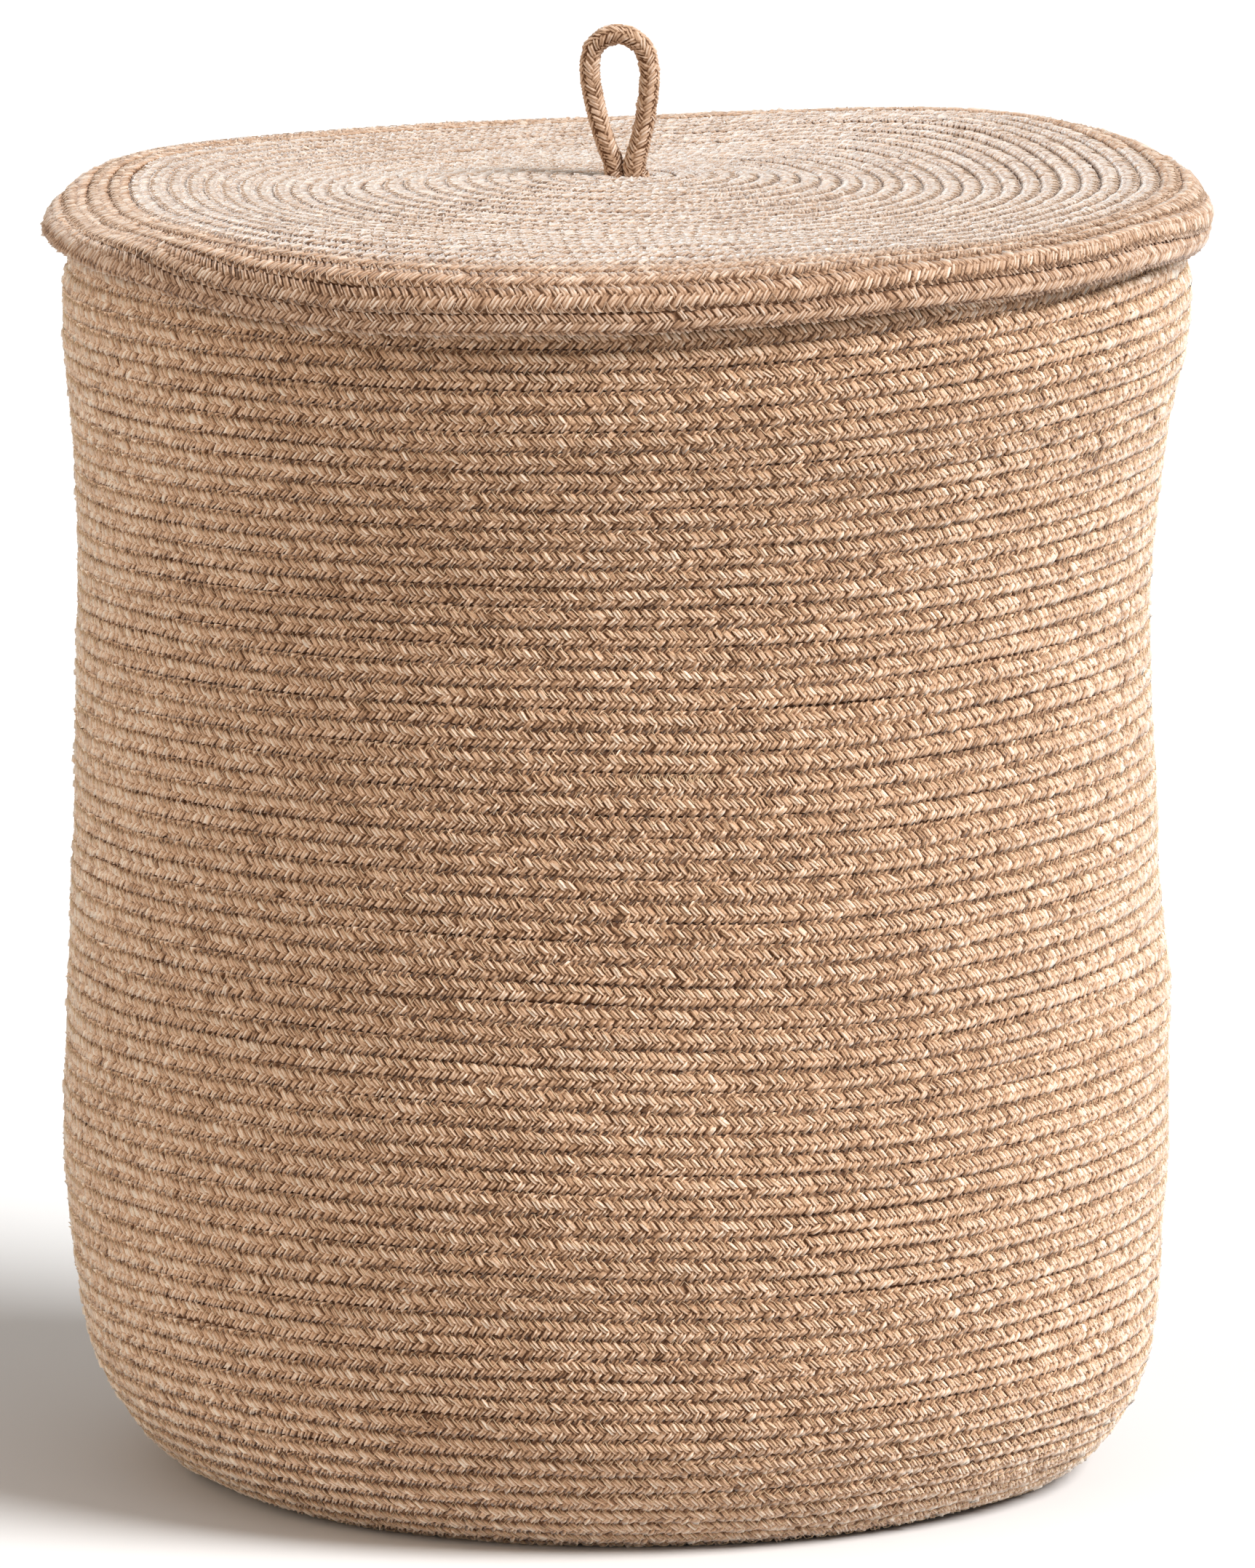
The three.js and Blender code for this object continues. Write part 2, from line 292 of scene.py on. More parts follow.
def lid_rise(phi, r):
    """How far the lid stands off its section line: up at the back, rolled down at the front and the left."""
    back_right = 4.6 * turned(phi, 48, 40) + 6.2 * turned(phi, 43, 30)
    back_left = 1.2 * turned(phi, 150, 22) + 1.8 * turned(phi, 161, 14)
    rise = back_right * np.clip((r - 60) / 120, 0, 1) + back_left * np.clip((r - 150) / 60, 0, 1)
    roll = 3.0 * turned(phi, -100, 60) + 5.5 * turned(phi, -100, 42) + 9.0 * turned(phi, -172, 26)
    return rise - roll * np.clip((r - 158) / 58, 0, 1) ** 2


def lid_rows(phi, s):
    """How far the lid's rows are shifted out and down the skirt, to put its lower edge at its height."""
    edge = np.interp(degrees_from(phi, 0), SKIRT_AZIMUTH, SKIRT_EDGE)
    return smooth((s - 90) / 130) * (SKIRT_LEVEL + lid_rise(phi, LID_EDGE_RADIUS) - edge)


def lid_seams(phi, s):
    """How far the rope bulges out toward its seams: most at the front left."""
    return 0.55 * turned(phi, -135, 80)


def lid_settle(phi, r, z):
    """World place of a point on the round lid: skirt tucked in at the sides, top sunk at the front right."""
    tuck = np.clip((491 - z) / 15, 0, 1) ** 2
    r = r + 1.8 * turned(phi, 180, 24) * smooth((r - 190) / 30)
    r = r - tuck * (2.2 * turned(phi, 180, 42) + 5.0 * turned(phi, 0, 34))
    x, y = r * np.cos(phi), r * np.sin(phi)
    front_right = bump(x - 0.6 * (y + 190), 120, 50) * bump(y, -130, 60)
    return x, y, z + lid_rise(phi, r) - 2.2 * front_right


# Steps of the bend where the lid turns down over the rim.
BEND_STEPS = 24


def hamper_section():
    return Section(np.vstack([HAMPER_BASE, catmull_rom(HAMPER_WALL)]), 1)


def lid_section():
    bend = np.linspace(0, math.pi / 2, BEND_STEPS)
    turn_down = np.stack([RIM_MIDDLE[0] + SKIRT_BEND * np.sin(bend),
                          RIM_MIDDLE[1] + SKIRT_BEND * np.cos(bend)], -1)
    end = [(RIM_MIDDLE[0] + SKIRT_BEND, SKIRT_LAST_ROW)]
    return Section(np.vstack([catmull_rom(LID_TOP), turn_down, end]), -1)


OUTLINE_STEPS = 1441


class Outline:
    """The squashed rope's outline, read by the distance round it from straight out."""

    def __init__(self, half_out, half_up, power):
        t = np.linspace(-math.pi, math.pi, OUTLINE_STEPS)
        c, s = np.cos(t), np.sin(t)
        out = half_out * np.sign(c) * np.abs(c) ** power
        up = half_up * np.sign(s) * np.abs(s) ** power
        arc = np.r_[0, np.cumsum(np.hypot(np.diff(out), np.diff(up)))]
        self.around = arc[-1]
        arc = arc - self.around / 2
        self.arc = np.linspace(arc[0], arc[-1], OUTLINE_STEPS // 2 + 1)
        self.out, self.up = np.interp(self.arc, arc, out), np.interp(self.arc, arc, up)
        slope_out, slope_up = np.gradient(self.out, self.arc), np.gradient(self.up, self.arc)
        size = np.hypot(slope_out, slope_up)
        self.normal_out, self.normal_up = slope_up / size, -slope_out / size

    def at(self, arc, height):
        """Outward and up parts of the point at that distance round, standing height off the outline."""
        arc = (arc + self.around / 2) % self.around - self.around / 2
        out = np.interp(arc, self.arc, self.out) + height * np.interp(arc, self.arc, self.normal_out)
        up = np.interp(arc, self.arc, self.up) + height * np.interp(arc, self.arc, self.normal_up)
        return out, up


def grid_faces(count, rows, columns):
    """Quads of count separate grids of rows x columns points."""
    i, j = np.meshgrid(np.arange(rows - 1), np.arange(columns - 1), indexing="ij")
    a = (i * columns + j).ravel()
    quad = np.stack([a, a + columns, a + columns + 1, a + 1], -1)
    return (quad[None] + rows * columns * np.arange(count)[:, None, None]).reshape(-1, 4)


class Parts:
    """Points and faces gathered for one mesh, with each point's tint and place in its yarn."""

    def __init__(self):
        self.points, self.faces, self.material = [], [], []
        self.tint, self.yarn, self.run = [], [], []
        self.count = 0

    def add(self, points, faces, tint, yarn, run, material=0):
        points = points.reshape(-1, 3)
        self.points.append(points)
        self.faces.append(faces + self.count)
        self.tint.append(np.broadcast_to(tint, len(points)).astype(np.float32))
        self.yarn.append(np.broadcast_to(yarn, len(points)).astype(np.float32))
        self.run.append(np.broadcast_to(run, len(points)).astype(np.float32))
        self.material.append(np.full(len(faces), material, np.int32))
        self.count += len(points)

    def mesh(self, name, materials):
        points = np.vstack(self.points) * MM
        faces = np.vstack(self.faces)
        mesh = bpy.data.meshes.new(name)
        mesh.vertices.add(len(points))
        mesh.vertices.foreach_set("co", points.astype(np.float32).ravel())
        mesh.loops.add(faces.size)
        mesh.loops.foreach_set("vertex_index", faces.astype(np.int32).ravel())
        mesh.polygons.add(len(faces))
        mesh.polygons.foreach_set("loop_start", np.arange(0, faces.size, 4, dtype=np.int32))
        mesh.polygons.foreach_set("use_smooth", np.ones(len(faces), bool))
        mesh.polygons.foreach_set("material_index", np.concatenate(self.material))
        mesh.update(calc_edges=True)
        for key, values in (("tint", self.tint), ("yarn", self.yarn), ("run", self.run)):
            mesh.attributes.new(key, "FLOAT", "POINT").data.foreach_set("value", np.concatenate(values))
        for material in materials:
            mesh.materials.append(material)
        piece = bpy.data.objects.new(name, mesh)
        bpy.context.scene.collection.objects.link(piece)
        return piece


# How far a strand stands up along it, and across it over its two yarns, as shares of its height.
ALONG = (np.array([-1.0, -0.45, 0.4, 1.0]), np.array([0.0, 0.9, 1.0, 0.0]))
ACROSS = (np.array([-1.0, -0.52, 0.0, 0.52, 1.0]), np.array([0.0, 1.0, 0.42, 1.0, 0.0]))
ALONG_PLAIN = (np.array([-1.0, 0.0, 1.0]), np.array([0.0, 1.0, 0.0]))
ACROSS_PLAIN = (np.array([-1.0, 0.0, 1.0]), np.array([0.0, 1.0, 0.0]))
FINE, PLAIN = (ALONG, ACROSS), (ALONG_PLAIN, ACROSS_PLAIN)
# Column number, counted up from just above the rope's outer middle, and how finely its strands are made.
COILED = [(0, FINE), (-1, FINE), (1, (ALONG_PLAIN, ACROSS)), (3, PLAIN), (-4, PLAIN)]
FREE = [(column, FINE) for column in range(LOOP_BRAID.columns)]
# How much the strands differ: in place along the rope, as a share of the pitch, in place round it, in width,
# height and angle, in their yarns' heights, and in the tints of strands and yarns.
PLACE_SPREAD, ARC_SPREAD = 0.06, 0.16
WIDTH_SPREAD, HEIGHT_SPREAD, ANGLE_SPREAD, YARN_SPREAD = 0.06, 0.08, 0.08, 0.2
STRAND_TINT_SPREAD, YARN_TINT_SPREAD = 0.06, 0.07
# A few yarns are slubs of paler fibre.
SLUB_SHARE, SLUB_TINT = 0.004, 0.4
# Painted shade and highlight: tint grows with height, so a strand's low edges are darker where shade falls
# between strands and its crown lighter where light falls, around the height that leaves it as it is.
HEIGHT_SHADE_AND_HIGHLIGHT, EVEN_HEIGHT = 0.82, 0.68
# The painted seam shade grows from nothing at SHADE_FROM off the rope's middle to its full size over
# SHADE_OVER.
SHADE_FROM, SHADE_OVER = 3.0, 1.3
# Strands read their fibre pattern from places scattered this far across and along it.
YARN_SCATTER, RUN_SCATTER = 7.0, 90.0


def strands(parts, rope, outline, start, end, columns, rng, half_turn=None):
    """The braid's raised strands on a rope, from start to end along it.

    With half_turn, a place and a reach, the braid sits one column further round up to that place.
    """
    braid = rope.braid
    count = int((end - start) / braid.pitch)
    column_width = outline.around / braid.columns
    reach = column_width + STRAND_OVERLAP
    size = math.hypot(braid.run, reach)
    for column, ((u, rise_u), (v, rise_v)) in columns:
        slant = -1 if column % 2 == 0 else 1
        place = braid.pitch * (np.arange(count) + 0.5 + 0.25 * slant)
        middle = start + place + rng.normal(0, PLACE_SPREAD * braid.pitch, count)
        arc = column_width * (column + 0.5) + BRAID_LEAN + BRAID_TWIST * rope.twist.at(middle)
        if half_turn:
            arc = arc + column_width / (1 + np.exp((middle - half_turn[0]) / half_turn[1]))
        arc = (arc + rng.normal(0, ARC_SPREAD, count))[:, None, None]
        width = (braid.width * rng.normal(1, WIDTH_SPREAD, count))[:, None, None]
        height = (braid.crown - braid.edge) * rng.normal(1, HEIGHT_SPREAD, count)[:, None, None]
        u3, v3 = u[None, :, None], v[None, None, :]
        turn = rng.normal(0, ANGLE_SPREAD, count)[:, None, None]
        along = u3 * braid.run / 2 - slant * v3 * width / 2 * reach / size
        swing = slant * u3 * reach / 2 + v3 * width / 2 * braid.run / size
        along, swing = along - turn * swing, swing + turn * along
        yarn_lift = rng.normal(1, YARN_SPREAD, (count, 1, len(v)))
        share = rise_u[None, :, None] * rise_v[None, None, :] * yarn_lift
        out, up = outline.at(arc + swing, braid.edge + height * share)
        points = rope.place(middle[:, None, None] + along, up, out)
        tint = rng.normal(0.5, STRAND_TINT_SPREAD, count)[:, None, None]
        tint = tint + rng.normal(0, YARN_TINT_SPREAD, (count, 1, len(v)))
        tint = tint + SLUB_TINT * (rng.random((count, 1, len(v))) < SLUB_SHARE)
        # Painted shade on a strand's low edges and painted highlight on its crown.
        tint = tint + HEIGHT_SHADE_AND_HIGHLIGHT * (share - EVEN_HEIGHT)
        # Painted shade in the seams between rows.
        shade = braid.seam_tint * rope.seam_shade(middle)[:, None, None]
        tint = tint - shade * smooth((np.abs(up) - SHADE_FROM) / SHADE_OVER)
        yarn = np.broadcast_to(v3 + YARN_SCATTER * rng.random((count, 1, 1)), points.shape[:3])
        run = np.broadcast_to(u3 + RUN_SCATTER * rng.random((count, 1, 1)), points.shape[:3])
        parts.add(points, grid_faces(count, len(u), len(v)), tint.ravel(), yarn.ravel(), run.ravel())


# The core's outline like the rope's, its sides, the distance between its rings, and its tint, dark for
# painted shade in the gaps between strands.
CORE_OUT = 3.1
CORE_UP = 4.2
CORE_SQUARENESS = 0.5
CORE_SIDES = 12
CORE_STEP = 14.0
CORE_TINT = 0.25
# How far past the rope's end each ring of the core's rounded end stands, and its share of the full size.
CORE_END = (np.array([0.9, 0.55]), np.array([0.04, 0.75]))


def core(parts, rope, start, end, half_out=CORE_OUT, half_up=CORE_UP, step=CORE_STEP):
    """The core under the strands, dark with painted shade in the gaps between them, with rounded ends. On a
    coil it closes the seam to the next row.
    """
    rings = max(3, int((end - start) / step))
    past, share = CORE_END
    along = np.concatenate([start - past, np.linspace(start, end, rings), end + past[::-1]])[:, None]
    size = np.concatenate([share, np.ones(rings), share[::-1]])[:, None]
    outline = Outline(half_out, half_up, CORE_SQUARENESS)
    out, up = outline.at(np.linspace(0, outline.around, CORE_SIDES + 1), 0.0)
    points = rope.place(np.broadcast_to(along, (len(along), CORE_SIDES + 1)), up * size, out * size)
    parts.add(points, grid_faces(1, len(along), CORE_SIDES + 1), CORE_TINT, 0.0, 0.0, 1)


def rope_piece(name, coil, start, end, seed, cotton):
    parts = Parts()
    core(parts, coil, start, end)
    outline = Outline(ROPE_OUT, ROPE_UP, SQUARENESS)
    strands(parts, coil, outline, start, end, COILED, np.random.default_rng(seed))
    return parts.mesh(name, [cotton, core_material])


# The thread's radius, its three-sided outline as (along, outward) shares of that, and its stitches' pitch.
THREAD = 0.17
THREAD_OUTLINE = [(0, 1), (0.87, -0.5), (-0.87, -0.5), (0, 1)]
ZIGZAG_STEP = 2.8
# The thread's corners as (up, outward): in the seam, half way down a leg, and at its foot.
THREAD_PEAK = (3.95, 2.8)
THREAD_WAIST = (2.6, 3.95)
THREAD_FOOT = (0.9, 4.0)
# The strands' crown that those outward places suit. On a flatter or fuller braid they move with its crown.
THREAD_CROWN = 0.72
# How much the stitches differ: along the rope, as a share of their pitch, up the rope, and in tint.
STITCH_SPREAD, STITCH_UP_SPREAD, STITCH_TINT_SPREAD = 0.07, 0.2, 0.15


def zigzag(parts, coil, start, end, rng, step=ZIGZAG_STEP):
    """The zigzag thread that joins each row to the next: peaks in the seam, feet on this row's upper half."""
    count = 2 * int((end - start) / step)
    corner = np.arange(count) % 4
    corners = [THREAD_PEAK, THREAD_WAIST, THREAD_FOOT, THREAD_WAIST]
    up, out = (np.choose(corner, [place[k] for place in corners]) for k in (0, 1))
    along = start + 0.5 * step * np.arange(count) + rng.normal(0, STITCH_SPREAD * step, count)
    up = up + rng.normal(0, STITCH_UP_SPREAD, count)
    out = out + coil.braid.crown - THREAD_CROWN
    # One prism for each leg, from a corner to the next.
    legs = (np.stack([line[:-1], line[1:]], 1)[:, :, None] for line in (along, up, out))
    leg_along, leg_up, leg_out = legs
    offset_along, offset_out = THREAD * np.array(THREAD_OUTLINE).T
    shape = (count - 1, 2, len(THREAD_OUTLINE))
    leg_up = np.broadcast_to(leg_up, shape)
    points = coil.place(leg_along + offset_along, leg_up, leg_out + offset_out)
    tint = np.broadcast_to(rng.normal(0.5, STITCH_TINT_SPREAD, count - 1)[:, None, None], shape)
    parts.add(points, grid_faces(count - 1, 2, len(THREAD_OUTLINE)), tint.ravel(), 0.0, 0.0)


def along_at(coil, x, height, radius):
    """The place along a wall's rope where it passes x at the front, in the row nearest a height."""
    front = math.asin(x / radius) - math.pi / 2
    phi = front + TURN * np.arange(1, int(coil.last_phi / TURN))
    place = np.interp(phi, coil.phi, coil.l)
    z = coil.place(place, np.zeros(len(place)), np.zeros(len(place)))[:, 2]
    return place[np.argmin(np.abs(z - height))]


def thread_piece(name, coil, start, end, seed, cotton):
    parts = Parts()
    zigzag(parts, coil, start, end, np.random.default_rng(seed))
    return parts.mesh(name, [cotton])


# Materials


def new_material(name):
    material = bpy.data.materials.new(name)
    material.use_nodes = True
    tree = material.node_tree
    return material, tree, tree.nodes["Principled BSDF"]


def add_node(tree, kind, **values):
    node = tree.nodes.new(kind)
    for key, value in values.items():
        if key in node.inputs:
            node.inputs[key].default_value = value
        else:
            setattr(node, key, value)
    return node


def ramp(tree, factor, stops):
    node = tree.nodes.new("ShaderNodeValToRGB")
    elements = node.color_ramp.elements
    while len(elements) < len(stops):
        elements.new(0.5)
    for element, (place, colour) in zip(elements, stops):
        element.position = place
        element.color = (*colour, 1)
    tree.links.new(factor, node.inputs["Fac"])
    return node.outputs["Color"]


def maths(tree, operation, a, b):
    """Arithmetic on two values, each a number or a socket."""
    node = tree.nodes.new("ShaderNodeMath")
    node.operation = operation
    for socket, value in zip(node.inputs, (a, b)):
        if isinstance(value, (int, float)):
            socket.default_value = value
        else:
            tree.links.new(value, socket)
    return node.outputs["Value"]


def noise(tree, place, scale, detail, rough):
    node = add_node(tree, "ShaderNodeTexNoise", Scale=scale, Detail=detail, Roughness=rough)
    tree.links.new(place, node.inputs["Vector"])
    return node.outputs["Fac"]


def attribute(tree, name):
    return add_node(tree, "ShaderNodeAttribute", attribute_name=name).outputs["Fac"]


def vector(tree, *values):
    node = tree.nodes.new("ShaderNodeCombineXYZ")
    for socket, value in zip(node.inputs, values):
        tree.links.new(value, socket)
    return node.outputs["Vector"]


def centred(tree, value, amount):
    """A noise moved from 0..1 to either side of 0, by an amount."""
    return maths(tree, "MULTIPLY", maths(tree, "SUBTRACT", value, 0.5), amount)


# Noise scales: fine flecks and slow mottling, for each metre, and fibres, across half a strand.
FLECK_SCALE, MOTTLE_SCALE, FIBRES_ACROSS = 1300, 9, 3.6
# How much each changes the tint, and how much fibres and flecks stand up.
FLECK_TINT, FIBRE_TINT, MOTTLE_TINT = 0.45, 0.65, 0.14
FIBRE_RELIEF, FLECK_RELIEF, RELIEF = 0.8, 0.5, 0.0003
ROUGH_LOW, ROUGH_HIGH = 0.72, 0.96
COTTON_SPECULAR, SHEEN_ROUGH = 0.3, 0.5


def fibre_material(name, stops, fibre_bump, sheen):
    """Cotton: tinted by strand, by height and seams as painted shade and highlight, mottled, with fibres that
    run along each strand.
    """
    material, tree, shader = new_material(name)
    link = tree.links.new
    place = tree.nodes.new("ShaderNodeTexCoord").outputs["Object"]
    fleck = noise(tree, place, FLECK_SCALE, detail=2.0, rough=0.6)
    mottle = noise(tree, place, MOTTLE_SCALE, detail=3.0, rough=0.55)
    across = maths(tree, "MULTIPLY", attribute(tree, "yarn"), FIBRES_ACROSS)
    fibre = noise(tree, vector(tree, across, attribute(tree, "run")), 1.0, detail=2.0, rough=0.7)
    shade = maths(tree, "ADD", attribute(tree, "tint"), centred(tree, fleck, FLECK_TINT))
    shade = maths(tree, "ADD", shade, centred(tree, fibre, FIBRE_TINT))
    shade = maths(tree, "ADD", shade, centred(tree, mottle, MOTTLE_TINT))
    link(ramp(tree, shade, stops), shader.inputs["Base Color"])
    rough = add_node(tree, "ShaderNodeMapRange")
    link(fleck, rough.inputs["Value"])
    rough.inputs["To Min"].default_value = ROUGH_LOW
    rough.inputs["To Max"].default_value = ROUGH_HIGH
    link(rough.outputs["Result"], shader.inputs["Roughness"])
    shader.inputs["Specular IOR Level"].default_value = COTTON_SPECULAR
    shader.inputs["Sheen Weight"].default_value = sheen
    shader.inputs["Sheen Roughness"].default_value = SHEEN_ROUGH
    fibre_height = maths(tree, "MULTIPLY", fibre, FIBRE_RELIEF)
    relief = maths(tree, "ADD", fibre_height, maths(tree, "MULTIPLY", fleck, FLECK_RELIEF))
    bump_node = add_node(tree, "ShaderNodeBump", Strength=fibre_bump, Distance=RELIEF)
    link(relief, bump_node.inputs["Height"])
    link(bump_node.outputs["Normal"], shader.inputs["Normal"])
    return material


# Colours by tint, from the root of a strand, dark with painted shade, to its crown, light with painted
# highlight.
ROPE_STOPS = [
    (0.0, (0.12, 0.050, 0.020)),
    (0.3, (0.43, 0.242, 0.130)),
    (0.55, (0.70, 0.450, 0.288)),
    (0.95, (0.95, 0.80, 0.65)),
]
# The lid's top and skirt are the same cotton as the rope, given greyer copies of its colours as painted
# sheen, the whitish haze of light across the lid's top; the skirt's copy is less grey.
LID_SHEEN_STOPS = [
    (0.0, (0.11, 0.050, 0.023)),
    (0.3, (0.36, 0.213, 0.125)),
    (0.55, (0.54, 0.368, 0.257)),
    (0.95, (0.78, 0.67, 0.57)),
]
SKIRT_STOPS = [
    (0.0, (0.11, 0.048, 0.021)),
    (0.3, (0.36, 0.203, 0.113)),
    (0.55, (0.54, 0.350, 0.232)),
    (0.95, (0.78, 0.64, 0.52)),
]
LOOP_STOPS = [
    (0.0, (0.17, 0.080, 0.038)),
    (0.3, (0.41, 0.250, 0.150)),
    (0.55, (0.58, 0.385, 0.260)),
    (0.95, (0.80, 0.64, 0.52)),
]
# The core's colours: the same cotton, dark as painted shade in the gaps between strands.
CORE_SHADE_STOPS = [(0.0, (0.08, 0.03, 0.012)), (1.0, (0.22, 0.11, 0.05))]
THREAD_STOPS = [(0.0, (0.58, 0.42, 0.25)), (1.0, (0.83, 0.68, 0.47))]
LID_THREAD_STOPS = [(0.0, (0.46, 0.32, 0.215)), (1.0, (0.68, 0.54, 0.42))]
rope_material = fibre_material("braided_cotton", ROPE_STOPS, 0.9, 0.4)
lid_material = fibre_material("lid_cotton", LID_SHEEN_STOPS, 0.9, 0.95)
skirt_material = fibre_material("skirt_cotton", SKIRT_STOPS, 0.9, 0.3)
core_material = fibre_material("rope_core_cotton", CORE_SHADE_STOPS, 0.5, 0.0)
thread_material = fibre_material("straw_thread", THREAD_STOPS, 0.3, 0.05)
lid_thread_material = fibre_material("lid_thread", LID_THREAD_STOPS, 0.3, 0.05)
loop_material = fibre_material("loop_cotton", LOOP_STOPS, 0.9, 0.1)


def dress(piece, body, slot, *nodes):
    """What a piece rides and the CAD nodes that it replaces; the slot is not used."""
    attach(piece, body)
    if nodes:
        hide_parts(*nodes)
    return piece


def coil_pieces(name, coil, start, end, count, seed, cotton, *facts):
    """A stretch of a coil as count pieces, each dressed with the same body and CAD nodes."""
    edges = np.linspace(start, end, count + 1)
    for i in range(count):
        label = f"{name}_{i + 1:02d}" if count > 1 else name
        dress(rope_piece(label, coil, edges[i], edges[i + 1], seed + i, cotton), *facts)


# Hamper

# The heel starts this far along the section line, and the wall at this height, where the line only rises.
HEEL_LINE = 166.0
WALL_HEIGHT = 52.0
RISING_LINE = 175.0
HAMPER_THREADS = 2


def line_at_height(section, height, start):
    """Distance along a section line where it reaches a height, past a start from which it only rises."""
    rising = section.s >= start
    return float(np.interp(height, section.z[rising], section.s[rising]))


hamper = Coil(hamper_section(), 11, hamper_rows, hamper_settle, hamper_seams, COIL_BRAID)
heel_start = hamper.rope_at_line(HEEL_LINE)
wall_start = hamper.rope_at_line(line_at_height(hamper.section, WALL_HEIGHT, RISING_LINE))
rim_start = hamper.rope_at_line(hamper.section.length - ROPE)
for name, start, end, count, seed, node in (
    ("base_rope", 0.0, heel_start, 2, 21, "base_coil"),
    ("heel_rope", heel_start, wall_start, 2, 24, "heel_coil"),
    ("wall_rope", wall_start, rim_start, 12, 30, "wall_coil"),
    ("rim_rope", rim_start, hamper.length, 1, 26, "rim_coil"),
):
    coil_pieces(name, hamper, start, end, count, seed, rope_material, "hamper", "body_rope", node)
thread_edges = np.linspace(heel_start, rim_start, HAMPER_THREADS + 1)
for i in range(HAMPER_THREADS):
    label = f"hamper_thread_{i + 1}"
    thread = thread_piece(label, hamper, thread_edges[i], thread_edges[i + 1], 60 + i, thread_material)
    dress(thread, "hamper", "stitch_thread")

# A short run of close stitches on the front of the wall, where a seam was locked.
LOCK_X, LOCK_HEIGHT, LOCK_RADIUS = 5.0, 301.0, 210.0
LOCK_LENGTH, LOCK_STEP = 34.0, 1.25
locked = Parts()
lock_start = along_at(hamper, LOCK_X, LOCK_HEIGHT, LOCK_RADIUS)
zigzag(locked, hamper, lock_start, lock_start + LOCK_LENGTH, np.random.default_rng(64), LOCK_STEP)
dress(locked.mesh("locked_stitches", [thread_material]), "hamper", "stitch_thread")

# Lid

# The skirt and the thread start this far along the lid's section line. The last round of rope has no thread.
SKIRT_LINE = 207.0
LID_THREAD_LINE = 12.0
LAST_ROUND = TURN * 222
lid = Coil(lid_section(), 71, lid_rows, lid_settle, lid_seams, LID_BRAID)
skirt_start = lid.rope_at_line(SKIRT_LINE)
for name, start, end, count, seed, cotton, node in (
    ("lid_disc_rope", 0.0, skirt_start, 3, 80, lid_material, "lid_disc_coil"),
    ("lid_skirt_rope", skirt_start, lid.length, 1, 84, skirt_material, "lid_skirt_coil"),
):
    coil_pieces(name, lid, start, end, count, seed, cotton, "lid", "lid_rope", node)
start, end = lid.rope_at_line(LID_THREAD_LINE), lid.length - LAST_ROUND
lid_thread = thread_piece("lid_thread", lid, start, end, 83, lid_thread_material)
dress(lid_thread, "lid", "stitch_thread")

# Loop handle and its tails

# The loop's rope swells at the end of its line by a share that fades over this distance.
SWELL_REACH = 13.0
FREE_TWIST_KNOT = 12.0
# The way that a free rope's outward side faces.
FACE = np.array([0.0, -1.0, 0.0])


class Line:
    """A rope along a free line through points. Places on it are given as a coil's are: along, up, outward."""

    def __init__(self, points, seed, swell=0.0):
        self.braid = LOOP_BRAID
        self.points = catmull_rom(points)
        self.l = np.r_[0, np.cumsum(np.linalg.norm(np.diff(self.points, axis=0), axis=1))]
        self.length = self.l[-1]
        self.tangent = np.gradient(self.points, self.l, axis=0)
        self.tangent /= np.linalg.norm(self.tangent, axis=1)[:, None]
        self.swell = swell
        self.twist = Wander(seed, self.length, FREE_TWIST_KNOT)

    def seam_shade(self, along):
        """A free rope has no seams."""
        return np.zeros_like(along)

    def place(self, along, up, out):
        """World points, in millimetres, of points on the rope."""
        along, up, out = np.broadcast_arrays(along, up, out)
        point, tangent = (np.stack([np.interp(along, self.l, a[:, k]) for k in range(3)], -1)
                          for a in (self.points, self.tangent))
        side = np.cross(FACE, tangent)
        side /= np.linalg.norm(side, axis=-1)[..., None]
        front = np.cross(tangent, side)
        swell = 1 + self.swell * bump(along, self.length, SWELL_REACH)
        return point + (up * swell)[..., None] * side + (out * swell)[..., None] * front


# Half of the loop's line and of a tail's, as (distance from the middle, height). The tails lie under the lid.
LOOP_FOOT = 509.8
LOOP_TOP = 560.0
LOOP_HALF = [
    (4.1, LOOP_FOOT - 8), (4.1, LOOP_FOOT), (6.9, LOOP_FOOT + 9), (9.8, LOOP_FOOT + 21),
    (11.5, LOOP_FOOT + 36), (8.9, LOOP_TOP - 4.4),
]
TAIL_HALF = [(4.7, 507), (4.7, 497.5), (6.6, 492.6), (11.7, 490.2), (20.7, 491.0), (44, 491.6)]
# How far along X the loop's middle stands off the lid's at its foot, and how much further at its top.
LOOP_SLIDE = (-1.4, -2.3)
# How far apart the legs stand, front to back, is twice this.
LEG_STAGGER = 0.8
LOOP_ROPE = 3.8
LOOP_CORE = LOOP_ROPE - 0.55
LOOP_CORE_STEP = 1.2


def loop_middle(z):
    return LOOP_SLIDE[0] + LOOP_SLIDE[1] * (z - LOOP_FOOT) / (LOOP_TOP - LOOP_FOOT)


def loop_line():
    left = [(loop_middle(z) - x, LEG_STAGGER, z) for x, z in LOOP_HALF]
    right = [(loop_middle(z) + x, -LEG_STAGGER, z) for x, z in LOOP_HALF]
    return left + [(loop_middle(LOOP_TOP), 0, LOOP_TOP)] + right[::-1]


def free_rope(name, line, seed, half_turn=None):
    parts = Parts()
    outline = Outline(LOOP_ROPE, LOOP_ROPE, 1.0)
    core(parts, line, 0.0, line.length, LOOP_CORE, LOOP_CORE, LOOP_CORE_STEP)
    strands(parts, line, outline, 0.0, line.length, FREE, np.random.default_rng(seed), half_turn)
    return parts.mesh(name, [loop_material, core_material])


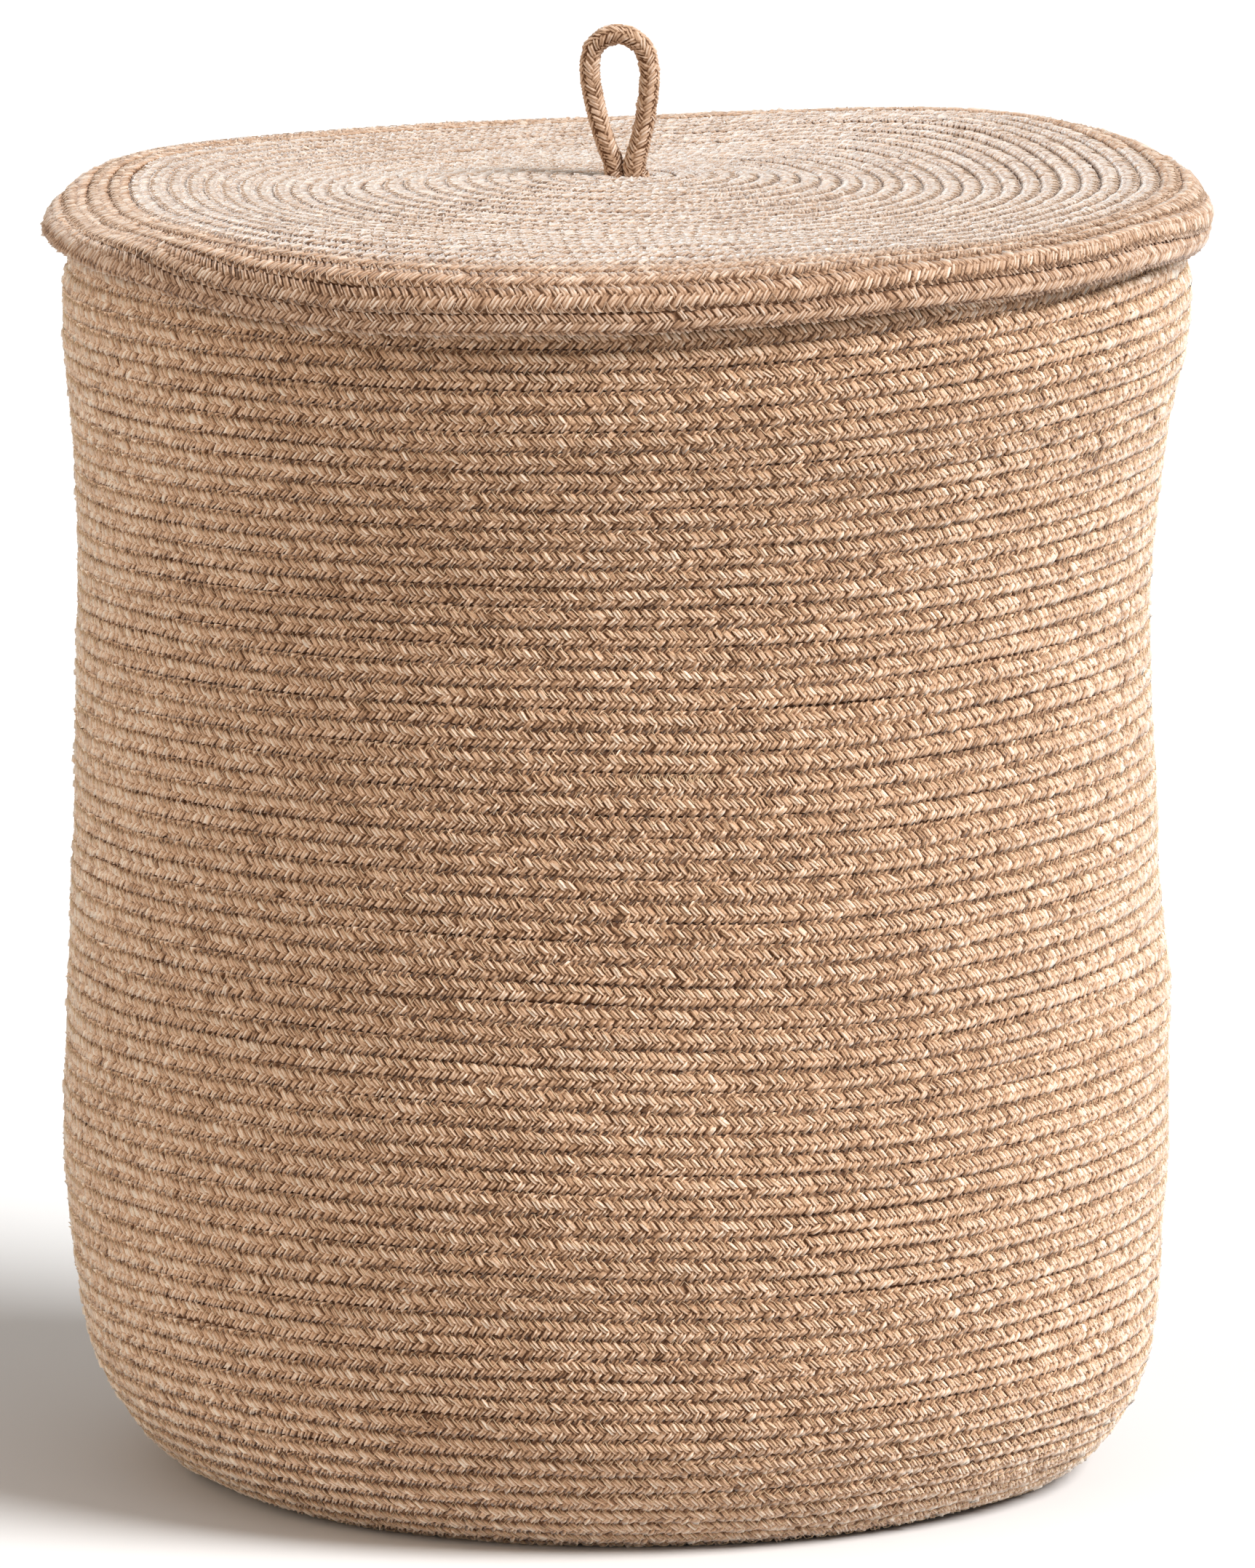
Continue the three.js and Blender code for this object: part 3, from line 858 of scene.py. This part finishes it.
loop = Line(loop_line(), 91, swell=0.22)
loop_rope = free_rope("loop_rope", loop, 92, (loop.length * 0.5, 9.0))
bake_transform(loop_rope)
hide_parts("loop_handle")
for word, side in (("left", -1), ("right", 1)):
    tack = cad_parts[f"tail_tack_{word}"]
    tack.data.materials.clear()
    tack.data.materials.append(thread_material)
    tail = Line([(side * x, 0, z) for x, z in TAIL_HALF], 93 + side)
    tail_rope = free_rope(f"loop_tail_rope_{word}", tail, 95 + side)
    dress(tail_rope, "lid", "loop_rope", f"loop_tail_{word}")

# Floor, light and camera

# Half the floor's side, in metres.
FLOOR_HALF = 14.0


def floor():
    mesh = bpy.data.meshes.new("floor")
    corners = [(FLOOR_HALF * x, FLOOR_HALF * y, 0) for x, y in ((-1, -1), (1, -1), (1, 1), (-1, 1))]
    mesh.from_pydata(corners, [], [(0, 1, 2, 3)])
    material, _, shader = new_material("studio_floor")
    shader.inputs["Base Color"].default_value = (0.78, 0.78, 0.78, 1)
    shader.inputs["Roughness"].default_value = 0.9
    shader.inputs["Specular IOR Level"].default_value = 0.1
    mesh.materials.append(material)
    sheet = bpy.data.objects.new("floor", mesh)
    bpy.context.scene.collection.objects.link(sheet)


def sun(name, azimuth, elevation, strength, softness, colour=(1, 1, 1)):
    """A soft light from far away, at an azimuth from +X and a height over the floor, in degrees."""
    light = bpy.data.lights.new(name, "SUN")
    light.energy = strength
    light.angle = math.radians(softness)
    light.color = colour
    lamp = bpy.data.objects.new(name, light)
    lamp.rotation_euler = (0, math.radians(90 - elevation), math.radians(azimuth))
    bpy.context.scene.collection.objects.link(lamp)


def studio():
    world = bpy.data.worlds.new("studio")
    world.use_nodes = True
    background = world.node_tree.nodes["Background"]
    background.inputs["Color"].default_value = (1, 1, 1, 1)
    background.inputs["Strength"].default_value = 0.38
    bpy.context.scene.world = world
    sun("key", azimuth=-28, elevation=42, strength=4.45, softness=29)
    sun("fill", azimuth=205, elevation=16, strength=1.2, softness=70, colour=(1.0, 0.80, 0.58))
    bpy.context.scene.view_settings.view_transform = "Standard"


# In metres, then degrees down from level, then the lens and its sensor in millimetres.
CAMERA_PLACE = (0.0, -5.3, 1.14)
CAMERA_PITCH = 9.36
CAMERA_LENS = 316.5
CAMERA_SENSOR = 36.0


def camera():
    data = bpy.data.cameras.new("camera")
    data.sensor_width = CAMERA_SENSOR
    data.lens = CAMERA_LENS
    data.clip_end = 100.0
    view = bpy.data.objects.new("camera", data)
    view.location = CAMERA_PLACE
    view.rotation_euler = (math.radians(90 - CAMERA_PITCH), 0, 0)
    bpy.context.scene.collection.objects.link(view)
    bpy.context.scene.camera = view


floor()
studio()
camera()
